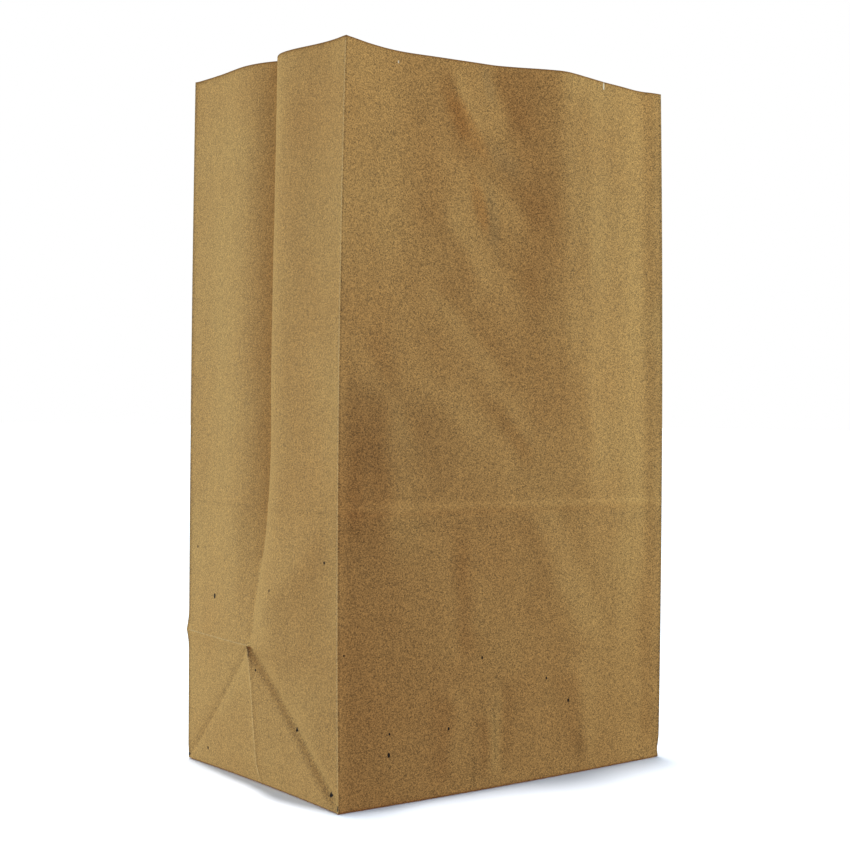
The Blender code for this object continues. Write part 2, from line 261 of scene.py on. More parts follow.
# Bark specks seen in the photograph: distance round the sheet, height, radius
SPECKS = (
    (ROUND_TUBE - 0.1317, 0.1079, 0.0012),
    (ROUND_TUBE - 0.0560, 0.1190, 0.0007),
    (ROUND_TUBE - 0.0112, 0.1382, 0.0007),
    (ROUND_TUBE - 0.0415, 0.0399, 0.0009),
    (ROUND_TUBE - 0.1436, 0.0110, 0.0008),
    (ROUND_TUBE - 0.0782, 0.0694, 0.0006),
    (ROUND_TUBE - 0.1578, 0.1368, 0.0007),
    (ROUND_TUBE - 0.0098, 0.0088, 0.0011),
    (ROUND_TUBE - 0.0012, 0.0030, 0.0014),
    (LEFT_POST + 0.0010, 0.0030, 0.0007),
    (0.0338, 0.0288, 0.0010),
    (0.0343, 0.0406, 0.0006),
    (0.0041, 0.0874, 0.0005),
    (0.1006, 0.0784, 0.0007),
    (0.0755, 0.0393, 0.0007),
    (0.1695, 0.0461, 0.0008),
    (0.1518, 0.0614, 0.0007),
)

# Shares of a speck's distances along and up the sheet, and of its radius that is fully dark
SPECK_SHAPE = (0.9, 0.6, 0.0)
SPECK_CORE = 0.7

# Pale nicks near the mouth: start and end on the sheet, half width
NICKS = (
    ((0.0459, 0.4247), (0.0459, 0.4263), 0.0007),
    ((0.1984, 0.4272), (0.1984, 0.4320), 0.0010),
)

# Darkening of the cut edge at the mouth: heights where it starts and is full, strengths
CUT_EDGE = (HEIGHT - 0.0012, HEIGHT - 0.0004, 0.0, 0.60)

# Painted shade of the dark slit below each gusset's apex: its length and half width
APEX_SLIT_SHADE = (0.006, 0.0011)

# Chance flecks: cells in a metre, radius, share of the cells, strength, colour
FLECKS = (
    (420.0, 0.0004, 0.08, 0.30, FIBRE_PALE),
    (520.0, 0.0004, 0.06, 0.50, FIBRE_DARK),
    (38.0, 0.0006, 0.20, 0.80, BARK_DARK),
)

# Share of a fleck's radius that has its full strength
FLECK_CORE = 0.5

# Tinted patches: start and end on the sheet, half width, change of colour; the first five make the
# paper redder or greyer, the last four are painted shade and painted light
TINT_AND_PAINTED_LIGHT_PATCHES = (
    ((0.0770, 0.4130), (0.1085, 0.3750), 0.0072, (0.99, 0.895, 0.80, 1.0)),
    ((0.0985, 0.3660), (0.1090, 0.3310), 0.0052, (0.99, 0.905, 0.82, 1.0)),
    ((0.1070, 0.4300), (0.1145, 0.4070), 0.0045, (0.90, 0.930, 1.00, 1.0)),
    ((0.1090, 0.3850), (0.1340, 0.3640), 0.0070, (0.93, 0.955, 1.02, 1.0)),
    ((0.1115, 0.3620), (0.1155, 0.3150), 0.0045, (0.90, 0.935, 1.00, 1.0)),
    # The next four are painted shade over the front's hollow, its right part and along the right
    # post, and painted light on the left gusset beside the near post
    ((-0.0100, 0.2330), (0.0850, 0.1850), 0.0340, (0.88, 0.865, 0.86, 1.0)),
    ((0.1900, 0.4600), (0.1900, 0.2700), 0.0420, (0.92, 0.920, 0.92, 1.0)),
    ((WIDTH - 0.0040, 0.4500), (WIDTH - 0.0040, 0.1200), 0.0120, (0.93, 0.930, 0.93, 1.0)),
    ((ROUND_TUBE - 0.0300, 0.3000), (ROUND_TUBE - 0.0300, 0.0700), 0.0200, (1.05, 1.050, 1.05, 1.0)),
)

# How far a patch fades out, in its own radii
PATCH_FADE = 1.7

# Creases rubbed light: half widths, and how far the near post's line lies beside it
WORN_HALF_WIDTH = 0.0006
APEX_LINE_HALF_WIDTH = 0.0005
NEAR_LINE_SHIFT = 0.0006

# Painted light and shade: lines made lighter or darker along the posts, the folds of the gussets,
# the short folds at the foot of the front and the pressed ridge, where these turn toward or away
# from the lamps: start, end, half width, gain
PAINTED_LIGHT_AND_SHADE_LINES = (
    ((0.0020, 0.0), (0.0020, 0.62 * HEIGHT), 0.0065, 0.13),
    ((0.0008, 0.0), (0.0008, HEIGHT), 0.0009, -0.32),
    ((0.0, PRESS_LEVEL), (WIDTH, PRESS_LEVEL), 0.0060, 0.08),
    ((0.0, PRESS_LEVEL + 0.0025), (WIDTH, PRESS_LEVEL + 0.0025), 0.0014, 0.035),
    ((0.0, PRESS_LEVEL - 0.0025), (WIDTH, PRESS_LEVEL - 0.0025), 0.0014, 0.045),
    ((0.0, PRESS_LEVEL - 0.0090), (WIDTH, PRESS_LEVEL - 0.0090), 0.0055, -0.06),
    ((LEFT_POST, PRESS_LEVEL - 0.0015), (ROUND_TUBE, PRESS_LEVEL - 0.0015), 0.0025, -0.05),
    ((0.0960, 0.0200), (0.0950, 0.0030), 0.0026, -0.28),
    ((0.1105, 0.0500), (0.1120, 0.0160), 0.0026, -0.26),
    ((0.1790, 0.0300), (0.1800, 0.0060), 0.0034, -0.20),
    ((LEFT_POST + 0.0004, 0.0), (LEFT_POST + 0.0004, HEIGHT), 0.0022, -0.35),
    ((RIGHT_POST - 0.0006, 0.0), (RIGHT_POST - 0.0006, HEIGHT), 0.0022, -0.30),
    ((LEFT_FOLD, APEX_LEVEL - 0.008), (LEFT_FOLD, 0.001), 0.0007, 0.30),
    ((LEFT_FOLD + 0.0013, APEX_LEVEL - 0.008), (LEFT_FOLD + 0.0013, 0.001), 0.0010, -0.14),
    ((LEFT_FOLD - 0.0020, APEX_LEVEL - 0.0020), (ROUND_TUBE - 0.0020, -0.0020), 0.0050, -0.14),
    ((LEFT_FOLD - 0.0016, APEX_LEVEL + 0.0016), (LEFT_POST - 0.0016, 0.0016), 0.0028, -0.09),
    ((LEFT_FOLD, APEX_LEVEL), (LEFT_POST, 0.0), 0.0010, 0.14),
)

# Name of the UV map, and how far below the walls the bottom lies on it
SHEET_MAP = "flat_sheet"
BOTTOM_UV_DROP = 1.0

# Soft lamps of the bag: name, place, aim, size in metres, power in watts, colour
LAMPS = (
    ("left_window", (-1.68, 1.26, 0.16), (0.0, 0.0, 0.18), (0.6, 0.6), 50.5, (0.762, 1.0, 1.045)),
    ("right_window", (0.60, -0.50, 0.36), (0.0, -0.08, 0.12), (0.25, 0.4), 4.4, (0.768, 1.0, 1.0)),
    ("top_glow", (-0.08, -0.36, 0.70), (0.0, -0.08, 0.43), (0.3, 0.2), 0.52, (0.86, 1.0, 1.0)),
)

# Lights of the floor alone: name, strength, angle across, lean along X and Y, colour
FLOOR_LIGHTS = (
    ("floor_sky", 2.1, math.radians(110), (0.0, 0.0), (0.38, 0.76, 1.0)),
    ("floor_sun", 2.9, math.radians(6.5), (0.0, -0.050), (1.0, 1.0, 1.0)),
)

# Surroundings and floor: the floor lies just clear of the flaps that rest on it
WHITE = (1.0, 1.0, 1.0, 1.0)
FILL_COLOUR = (0.285, 0.186, 0.178, 1.0)
FLOOR_COLOUR = (0.9, 0.9, 0.92, 1.0)
FLOOR_ROUGHNESS = 0.9
FLOOR_HALF_SIDE = 30.0
FLOOR_DROP = 0.0001

# The photograph's camera, fitted to the bag's corners
PHOTO_SIDE_PX = 850
FOCAL_PX = 1556.0
SENSOR_MM = 36.0
CAMERA_PLACE = Vector((-0.6167, -0.7929, 0.2200))
CAMERA_YAW = math.radians(37.679)
CAMERA_PITCH = math.radians(-0.270)
CAMERA_ROLL = math.radians(0.624)


def blend(a, b, t):
    return a + (b - a) * t


def crease(distance, reach):
    """Sharp fade with a fold at no distance, 0 beyond the reach."""
    return max(0.0, 1 - abs(distance) / reach) ** 2


def smooth_curve(points, x):
    """Height at x of a smooth curve through the points."""
    last = len(points) - 1
    i = max(k for k in range(last) if points[k][0] <= x or k == 0)
    (x0, y0), (x1, y1) = points[i], points[i + 1]

    def slope(k):
        low, high = points[max(k - 1, 0)], points[min(k + 1, last)]
        return (high[1] - low[1]) / (high[0] - low[0])

    span = x1 - x0
    t = (x - x0) / span
    h = t * t * (3 - 2 * t)
    ease_in = t * (1 - t) ** 2
    ease_out = -t * t * (1 - t)
    return blend(y0, y1, h) + span * (ease_in * slope(i) + ease_out * slope(i + 1))


def post(name, z):
    """Plan point of a post at height z."""
    side_x, side_y = POST_SIDES[name]
    base, middle, mouth = POST_SHIFT[name]
    t = z / HEIGHT
    arch = 4 * t * (1 - t)
    nub = NUB_OUT * crease(z - APEX_LEVEL, FOLD_REACH) if side_y > 0 else 0.0
    shift = [blend(base[k], mouth[k], t) + arch * middle[k] for k in (0, 1)]
    x = side_x * (WIDTH / 2 + shift[0] + nub)
    y = side_y * (DEPTH / 2 + shift[1])
    return x, y


def arch_toward_fold(t, skew):
    """Bulge of half a gusset, 0 at the post and steep at the valley, where t is 1."""
    return math.sin(math.pi * t ** skew)


def above_apex(z):
    """1 at the apex and below, falling to 0 where the gusset is folded to its full depth."""
    return min(1.0, max(0.0, (FOLDED_LEVEL - z) / (FOLDED_LEVEL - APEX_LEVEL))) ** FOLDING_EASE


def gusset_fold(z):
    """Place across the gusset and outward shift of its valley, from the front post."""
    near_apex = above_apex(z)
    place = blend(GUSSET_MOUTH, GUSSET_APEX, near_apex)
    return place, blend(-VALLEY_DEPTH, APEX_PROUD, near_apex)


def gusset_shift(f, z):
    """Outward shift of a gusset at f across from its front post, at height z."""
    place, fold = gusset_fold(z)
    rise = min(1.0, z / APEX_LEVEL)
    foot = -SIDE_BOW * 4 * f * (1 - f)
    half = 0 if f < place else 1
    bulge = blend(GUSSET_BULGE[half], LOWER_BULGE[half], above_apex(z)) * rise
    skew = blend(BULGE_SKEW, LOWER_SKEW, above_apex(z))
    front_node = place * rise
    back_node = 1 - (1 - place) * rise
    node_out = blend(0.0, fold, rise)
    if f < front_node:
        t = f / front_node
    elif f > back_node:
        t = (1 - f) / (1 - back_node)
    else:
        return node_out + foot * (1 - rise)
    ridge = FOLD_RIDGE * crease(z - APEX_LEVEL, FOLD_REACH) if f > back_node else 0.0
    ridge *= min(1.0, RIDGE_RUN_IN * (1 - t))
    out = node_out * t + bulge * arch_toward_fold(t, skew) + ridge
    return out + foot * (1 - rise)


def gusset_relief(f, z):
    """Soft folds, pressed line and sharp creases of a gusset, all outward."""
    place = gusset_fold(z)[0]
    calm = min(1.0, GUSSET_RUN_IN * f * (1 - f))
    out = sum(fold_shift(fold, f, z, DEPTH) for fold in GUSSET_FOLDS) * calm
    if f < place:
        ends = min(1.0, PRESS_RUN_IN * f * (place - f))
        out += PRESS_RIDGE * crease(z - PRESS_LEVEL, CREASE_REACH) * ends
    if z > APEX_LEVEL:
        shift, reach = VALLEY_CREASE
        start = min(1.0, (z - APEX_LEVEL) / CREASE_RUN_IN)
        return out + shift * start * above_apex(z) * crease((f - place) * DEPTH, reach)
    return out + corner_creases(f, z)


def corner_creases(f, z):
    """Creases from a gusset's apex to its bottom corners, and the rise between them."""
    apex = GUSSET_APEX * DEPTH
    ends = min(1.0, min(z, APEX_LEVEL - z) / CREASE_RUN_IN)
    pinch = 1 + FOOT_PINCH * (1 - z / APEX_LEVEL)
    half_width = (1 - z / APEX_LEVEL) * DEPTH / 2 + TINY
    tent = max(0.0, 1 - abs(f * DEPTH - apex) / half_width)
    out = CENTRE_RISE * tent * min(1.0, z / FOLD_REACH)
    lines = (
        (0.0, CORNER_CREASE),
        (DEPTH, BACK_CORNER_CREASE),
        (DEPTH / 2, CENTRE_CREASE),
    )
    for foot, (shift, inside, outside) in lines:
        run = Vector((apex - foot, APEX_LEVEL)).normalized()
        aside = run.cross(Vector((f * DEPTH - foot, z)))
        reach = outside if aside * (apex - foot) > 0 else inside
        out += shift * crease(aside, reach) * ends * pinch
    return out


def fold_shift(fold, place, up, width):
    """Outward shift of one long soft fold between two points of a panel."""
    (f0, t0), (f1, t1), shift, reach = fold
    start = Vector((f0 * width, t0 * HEIGHT))
    run = Vector((f1 * width, t1 * HEIGHT)) - start
    here = Vector((place * width, up))
    spot = here.to_3d() / FOLD_WARP_SIZE
    wander = Vector([noise.noise(spot + shift) for shift in FOLD_WARP_SPOTS])
    offset = here + FOLD_WARP * wander - start
    along = min(1.0, max(0.0, offset.dot(run) / run.length_squared))
    beyond = offset - run * along
    aside = abs(run.normalized().cross(beyond)) if 0.0 < along < 1.0 else beyond.length
    return shift * math.exp(-(aside / reach) ** FOLD_SHAPE)


def wave_strength(z):
    """Strength of the open end's wave, fading in a straight line down the panel."""
    return max(0.0, z / HEIGHT - WAVE_FOOT) / (1 - WAVE_FOOT)


def front_shift(f, z):
    t = z / HEIGHT
    drift = WAVE_DRIFT * (1 - t) * 4 * f * (1 - f)
    wave = smooth_curve(FRONT_WAVE, min(1.0, max(0.0, f - drift))) * wave_strength(z)
    arch = 4 * f * (1 - f)
    belly = FRONT_BELLY * arch * math.sin(math.pi * min(1.0, t * FRONT_BELLY_RISE)) ** 2
    bow = FRONT_BOW * arch * (1 - t) ** 2
    pressed = PRESS_RIDGE * crease(z - PRESS_LEVEL, CREASE_REACH)
    folds = sum(fold_shift(fold, f, z, WIDTH) for fold in FRONT_FOLDS)
    folds *= min(1.0, t * FOOT_RUN_IN)
    return wave + belly + bow + (pressed + folds) * min(1.0, PANEL_RUN_IN * arch)


def back_shift(f, z):
    t = z / HEIGHT
    arch = 4 * f * (1 - f)
    wave = smooth_curve(BACK_WAVE, f) * wave_strength(z)
    belly = BACK_BELLY * arch * math.sin(math.pi * min(1.0, t * BACK_BELLY_RISE)) ** 2
    fold = -FOLD_RIDGE * crease(z - APEX_LEVEL, FOLD_REACH) * min(1.0, BACK_RUN_IN * arch)
    return wave + belly + fold


def wall_point(panel, f, z, lift=0.0):
    """Point of the folded sheet on a panel, f across it from its first post."""
    name, first, second = panel
    a, b = post(first, z), post(second, z)
    if name == "front":
        out = front_shift(f, z)
    elif name == "back":
        out = back_shift(f, z)
    else:
        from_front = 1 - f if name == "left_gusset" else f
        out = gusset_shift(from_front, z) + gusset_relief(from_front, z)
    nx, ny = PANEL_OUTWARD[name]
    x = blend(a[0], b[0], f) + nx * (out + lift)
    y = blend(a[1], b[1], f) + ny * (out + lift)
    return x, y, BASE_LEVEL + z * (HEIGHT - BASE_LEVEL) / HEIGHT


def gusset_columns(z, from_front):
    """Places across a gusset at height z: even steps on each side of its valley."""
    place = gusset_fold(z)[0]
    steps = HALF_GUSSET_STEPS
    front_half = [place * k / steps for k in range(steps)]
    back_half = [place + (1 - place) * k / steps for k in range(steps + 1)]
    columns = front_half + back_half
    return columns if from_front else [1 - f for f in reversed(columns)]


def panel_columns(name, z):
    if name in ("back", "front"):
        return [k / PANEL_STEPS for k in range(PANEL_STEPS + 1)]
    return gusset_columns(z, from_front=(name == "right_gusset"))


def wall_levels():
    """Heights of the grid's rows: even below the apex, and around the pressed line."""
    below = [APEX_LEVEL * k / HALF_GUSSET_STEPS for k in range(HALF_GUSSET_STEPS + 1)]
    below += [ROLL * share for share in FOOT_ROWS]
    around = [PRESS_LEVEL + CREASE_REACH * share for share in PRESS_ROWS]
    step = (HEIGHT - APEX_LEVEL) / UPPER_STEPS
    above = [APEX_LEVEL + step * k for k in range(1, UPPER_STEPS + 1)]
    clear = [z for z in above if min(abs(z - level) for level in around) > step / CLEAR_PART]
    return sorted(below + around + clear)


def sheet_place(panel, index):
    """Distance round the flat sheet, from the near post, of a panel's column."""
    name = panel[0]
    starts = {
        "front": 0.0,
        "right_gusset": RIGHT_POST,
        "back": FAR_POST,
        "left_gusset": LEFT_POST,
    }
    if name in ("front", "back"):
        return starts[name] + WIDTH * index / PANEL_STEPS
    return starts[name] + DEPTH * index / (2 * HALF_GUSSET_STEPS)


def sheet_columns():
    """Panel, column number and distance round the sheet of every column of the tube."""
    columns = []
    for panel in PANELS:
        count = PANEL_STEPS if panel[0] in ("front", "back") else 2 * HALF_GUSSET_STEPS
        columns += [(panel, k, sheet_place(panel, k)) for k in range(count)]
    return columns + [(PANELS[0], 0, ROUND_TUBE)]


def fine_relief(panel, f, z, point):
    """Pinched posts, cockle and ripple of the paper, along the panel's outward axis."""
    width = WIDTH if panel[0] in ("front", "back") else DEPTH
    from_post = min(f, 1 - f) * width
    pinch = PINCH * crease(from_post, PINCH_REACH)
    place = Vector(point)
    upright = Vector((place.x, place.y, place.z * UPRIGHT_SHARE))
    cockle = COCKLE * noise.noise(upright / COCKLE_SIZE)
    ripple = RIPPLE * noise.noise(upright / RIPPLE_SIZE + RIPPLE_SHIFT)
    calm = min(1.0, from_post / CALM_AT_POST) * min(1.0, z / CALM_AT_FOOT)
    below = max(0.0, 1 - z / ROLL)
    rolled = -ROLL_INSET * (1 - math.sqrt(1 - below * below))
    return pinch + (cockle + ripple) * calm + rolled


def relieved_point(panel, f, z, lift=0.0):
    point = wall_point(panel, f, z, lift)
    out = fine_relief(panel, f, z, point)
    nx, ny = PANEL_OUTWARD[panel[0]]
    return point[0] + nx * out, point[1] + ny * out, point[2]


def new_object(name, bm):
    mesh = bpy.data.meshes.new(name)
    bm.to_mesh(mesh)
    bm.free()
    obj = bpy.data.objects.new(name, mesh)
    bpy.context.scene.collection.objects.link(obj)
    return obj


def add_thickness(obj, thickness, offset):
    solidify = obj.modifiers.new("paper", "SOLIDIFY")
    solidify.thickness = thickness
    solidify.offset = offset
    solidify.use_even_offset = True


def sheet_grid(ring, levels, place_vertex):
    """Grid of one vertex for each column and level, with the flat sheet as its UV map."""
    columns, rows = len(ring) - 1, len(levels) - 1
    bm = bmesh.new()
    bmesh.ops.create_grid(bm, x_segments=columns, y_segments=rows, size=1.0)
    uv = bm.loops.layers.uv.new(SHEET_MAP)
    places = {}
    for vert in bm.verts:
        i = round((vert.co.x + 1) / 2 * columns)
        j = round((vert.co.y + 1) / 2 * rows)
        places[vert] = (ring[i][2], levels[j])
        vert.co = place_vertex(i, j)
    for face in bm.faces:
        face.smooth = True
        for loop in face.loops:
            loop[uv].uv = places[loop.vert]
    return bm


def lay_flat(faces, uv, looks_up):
    """Turn level faces to look up or down, and lay them below the walls on the UV map."""
    for face in faces:
        face.normal_update()
        if (face.normal.z > 0) != looks_up:
            face.normal_flip()
        for loop in face.loops:
            loop[uv].uv = (loop.vert.co.x, loop.vert.co.y - BOTTOM_UV_DROP)


def build_walls():
    levels = wall_levels()
    columns = sheet_columns()
    rings = [[panel_columns(panel[0], z)[k] for panel, k, _ in columns] for z in levels]

    def place_vertex(i, j):
        return relieved_point(columns[i][0], rings[j][i], levels[j])

    bm = sheet_grid(columns, levels, place_vertex)
    bmesh.ops.remove_doubles(bm, verts=bm.verts[:], dist=MERGE_REACH)
    rim = [e for e in bm.edges if e.is_boundary and all(v.co.z < RIM_TOP for v in e.verts)]
    bottom = bmesh.ops.edgeloop_fill(bm, edges=rim)["faces"]
    lay_flat(bottom, bm.loops.layers.uv[SHEET_MAP], looks_up=False)
    obj = new_object("folded_sheet", bm)
    add_thickness(obj, PAPER, -1.0)
    obj.data.set_sharp_from_angle(angle=SHARP_ANGLE)
    return obj


def flat_ply(name, corners, level, thickness):
    """Level ply with four corners, from its lower face at the given level."""
    bm = bmesh.new()
    bmesh.ops.create_grid(bm, x_segments=1, y_segments=1, size=1.0)
    uv = bm.loops.layers.uv.new(SHEET_MAP)
    for vert in bm.verts:
        x, y = corners[(vert.co.x > 0) + 2 * (vert.co.y > 0)]
        vert.co = (x, y, level)
    lay_flat(bm.faces, uv, looks_up=True)
    obj = new_object(name, bm)
    add_thickness(obj, thickness, 1.0)
    return obj


def build_flaps():
    """The two closing flaps below, and the two square flaps inside on the bottom."""
    front_y = -DEPTH / 2 + EDGE_INSET
    back_y = DEPTH / 2 - EDGE_INSET
    split = FLAP_LAP / 2
    end_x = WIDTH / 2 - 2 * EDGE_INSET
    front_end = end_x - (split - front_y)
    back_start = split + FLAP_SPLIT
    back_end = end_x - (back_y - back_start)
    thickness = BASE_LEVEL + BOND
    front = [(-end_x, front_y), (end_x, front_y), (-front_end, split), (front_end, split)]
    back = [(-back_end, back_start), (back_end, back_start), (-end_x, back_y), (end_x, back_y)]
    flaps = [
        flat_ply("closing_flap_front", front, 0.0, thickness),
        flat_ply("closing_flap_back", back, 0.0, thickness),
    ]
    level = BASE_LEVEL + PAPER - BOND
    inset = PAPER + SIDE_BOW + 2 * EDGE_INSET
    half_depth = DEPTH / 2 - PAPER - 2 * EDGE_INSET
    for side, name in ((-1, "inner_flap_left"), (1, "inner_flap_right")):
        outer = side * (WIDTH / 2 - inset)
        inner = side * (WIDTH / 2 - FLAP_REACH)
        low, high = min(outer, inner), max(outer, inner)
        corners = [(low, -half_depth), (high, -half_depth), (low, half_depth), (high, half_depth)]
        flaps.append(flat_ply(name, corners, level, PAPER + BOND))
    return flaps


def build_seam():
    """The sheet's edge, lapped and glued down the outside of the back."""
    half = SEAM_LAP / WIDTH / 2
    low, high = SEAM_PLACE - half, SEAM_PLACE + half
    ring = [
        (panel, k, place)
        for panel, k, place in sheet_columns()
        if panel[0] == "back" and low <= k / PANEL_STEPS <= high
    ]
    levels = wall_levels()
    heights = [levels[1] / 2] + levels[1:-1] + [HEIGHT - EDGE_INSET]

    def place_vertex(i, j):
        panel, k, _ = ring[i]
        return relieved_point(panel, k / PANEL_STEPS, heights[j], lift=PAPER - BOND)

    bm = sheet_grid(ring, heights, place_vertex)
    obj = new_object("lapped_edge", bm)
    add_thickness(obj, PAPER, -1.0)
    return obj


# Sockets of a mix node that blends colours: its two colours and its result
MIX_A = 6
MIX_B = 7
MIX_RESULT = 2


class Shading:
    """Short way to add and join the nodes of one material, called s in what follows."""

    def __init__(self, name):
        self.material = bpy.data.materials.new(name)
        self.material.use_nodes = True
        self.tree = self.material.node_tree
        self.shader = self.tree.nodes["Principled BSDF"]

    def node(self, kind, inputs=(), **settings):
        node = self.tree.nodes.new(kind)
        for key, value in settings.items():
            setattr(node, key, value)
        for key, value in dict(inputs).items():
            self.feed(node.inputs[key], value)
        return node

    def feed(self, socket, value):
        if isinstance(value, bpy.types.NodeSocket):
            self.tree.links.new(value, socket)
        else:
            socket.default_value = value

    def math(self, operation, a, b=0.0, clamp=False):
        inputs = {0: a, 1: b}
        node = self.node("ShaderNodeMath", inputs, operation=operation, use_clamp=clamp)
        return node.outputs[0]

    def vector(self, operation, a, b):
        node = self.node("ShaderNodeVectorMath", {0: a, 1: b}, operation=operation)
        return node.outputs["Value" if operation in ("DOT_PRODUCT", "LENGTH") else "Vector"]

    def noise(self, coords, scale, detail, roughness):
        inputs = {"Vector": coords, "Scale": scale, "Detail": detail, "Roughness": roughness}
        return self.node("ShaderNodeTexNoise", inputs).outputs["Fac"]

    def remap(self, value, low, high, to_low=0.0, to_high=1.0):
        inputs = {0: value, 1: low, 2: high, 3: to_low, 4: to_high}
        return self.node("ShaderNodeMapRange", inputs, clamp=True).outputs[0]

    def tint(self, colour, factor, shade, mode="MIX"):
        node = self.node("ShaderNodeMix", data_type="RGBA", blend_type=mode)
        self.feed(node.inputs[0], factor)
        self.feed(node.inputs[MIX_A], colour)
        self.feed(node.inputs[MIX_B], shade)
        return node.outputs[MIX_RESULT]

    def sum(self, values):
        total = values[0]
        for value in values[1:]:
            total = self.math("ADD", total, value)
        return total


def crease_line(s, sheet, start, end, width):
    """Factor that is 1 on a line of the flat sheet and 0 beyond its width."""
    run = Vector((end[0] - start[0], end[1] - start[1], 0.0))
    along = run.normalized()
    across = Vector((-along.y, along.x, 0.0))
    offset = s.vector("SUBTRACT", sheet, (start[0], start[1], 0.0))
    reach = s.vector("DOT_PRODUCT", offset, tuple(along))
    aside = s.math("ABSOLUTE", s.vector("DOT_PRODUCT", offset, tuple(across)))
    inside = s.remap(aside, 0.0, width, 1.0, 0.0)
    begun = s.math("GREATER_THAN", reach, 0.0)
    ended = s.math("LESS_THAN", reach, run.length)
    return s.math("MULTIPLY", inside, s.math("MULTIPLY", begun, ended))


def soft_patch(s, sheet, ragged, start, end, width):
    """Factor that is 1 inside an oval of the flat sheet and fades to 0 at a ragged edge."""
    middle = ((start[0] + end[0]) / 2, (start[1] + end[1]) / 2, 0.0)
    run = Vector((end[0] - start[0], end[1] - start[1], 0.0))
    along = run.normalized() / (run.length / 2)
    across = Vector((-run.y, run.x, 0.0)).normalized() / width
    offset = s.vector("SUBTRACT", sheet, middle)
    shares = {
        0: s.vector("DOT_PRODUCT", offset, tuple(along)),
        1: s.vector("DOT_PRODUCT", offset, tuple(across)),
    }
    place = s.node("ShaderNodeCombineXYZ", shares).outputs[0]
    size = s.vector("LENGTH", place, (0.0, 0.0, 0.0))
    return s.remap(s.math("ADD", size, ragged), 1.0, PATCH_FADE, 1.0, 0.0)


def worn_creases():
    """Lines where folding rubbed the paper lighter: start, end and half width on the sheet."""
    posts = (RIGHT_POST, FAR_POST, LEFT_POST, ROUND_TUBE - NEAR_LINE_SHIFT)
    lines = [((place, 0.0), (place, HEIGHT), WORN_HALF_WIDTH) for place in posts]
    for fold in (RIGHT_FOLD, LEFT_FOLD):
        lines.append(((fold, APEX_LEVEL), (fold, 0.0), WORN_HALF_WIDTH))
    lines.append(((RIGHT_FOLD, APEX_LEVEL), (LEFT_FOLD, APEX_LEVEL), APEX_LINE_HALF_WIDTH))
    return lines


def flecks(s, coords, cells, radius, share):
    """Small spots, one at most in each cell, in the given share of the cells."""
    inputs = {"Vector": coords, "Scale": cells}
    spots = s.node("ShaderNodeTexVoronoi", inputs, feature="F1")
    reach = radius * cells
    near = s.remap(spots.outputs["Distance"], reach * FLECK_CORE, reach, 1.0, 0.0)
    chance = s.node("ShaderNodeSeparateColor", {0: spots.outputs["Color"]}).outputs[0]
    chosen = s.math("LESS_THAN", chance, share)
    return s.math("MULTIPLY", near, chosen)


def flake_gain(s, solid):
    """Coarse flakes of light and dark pulp, stronger on the wide panels: the extra strength there is
    painted light and shade, for the relief that grazing lamps pick out.
    """
    inputs = {"Vector": solid, "Scale": FLAKE_CELLS}
    flakes = s.node("ShaderNodeTexVoronoi", inputs).outputs["Color"]
    flake = s.node("ShaderNodeSeparateColor", {0: flakes}).outputs[0]
    normal = s.node("ShaderNodeTexCoord").outputs["Normal"]
    facing = s.node("ShaderNodeSeparateXYZ", {0: normal}).outputs["Y"]
    depth = s.remap(s.math("ABSOLUTE", facing), *NORMAL_RANGE, *FLAKE_GAIN)
    return s.math("MULTIPLY", s.remap(flake, 0.0, 1.0, -1.0, 1.0), depth)


def shaded_pulp(s, solid, sheet, noises):
    """Colour of the paper with its fibres, its grain, and light and shade painted along its posts,
    folds and pressed ridge.
    """
    colour = s.tint(KRAFT_LIGHT, s.remap(noises["clouds"], *CLOUD_RANGE), KRAFT_WARM)
    # Painted light and shade along posts, folds and the pressed ridge, then the paper's own mottle,
    # streaks, fibres, flakes and grain
    painted_light_and_grain = [
        s.math("MULTIPLY", crease_line(s, sheet, start, end, width), gain)
        for start, end, width, gain in PAINTED_LIGHT_AND_SHADE_LINES
    ]
    painted_light_and_grain += [
        s.remap(noises[name], *NOISE_RANGE, -MOTTLE_GAIN, MOTTLE_GAIN)
        for name in ("mottle", "streaks", "fibres")
    ]
    painted_light_and_grain.append(flake_gain(s, solid))
    painted_light_and_grain.append(s.remap(noises["grain"], *NOISE_RANGE, -GRAIN_GAIN, GRAIN_GAIN))
    shade = s.math("MAXIMUM", s.sum(painted_light_and_grain + [1.0]), DARKEST_GRAIN)
    grey = s.node("ShaderNodeCombineXYZ", {0: shade, 1: shade, 2: shade}).outputs[0]
    return s.vector("MULTIPLY", colour, grey)


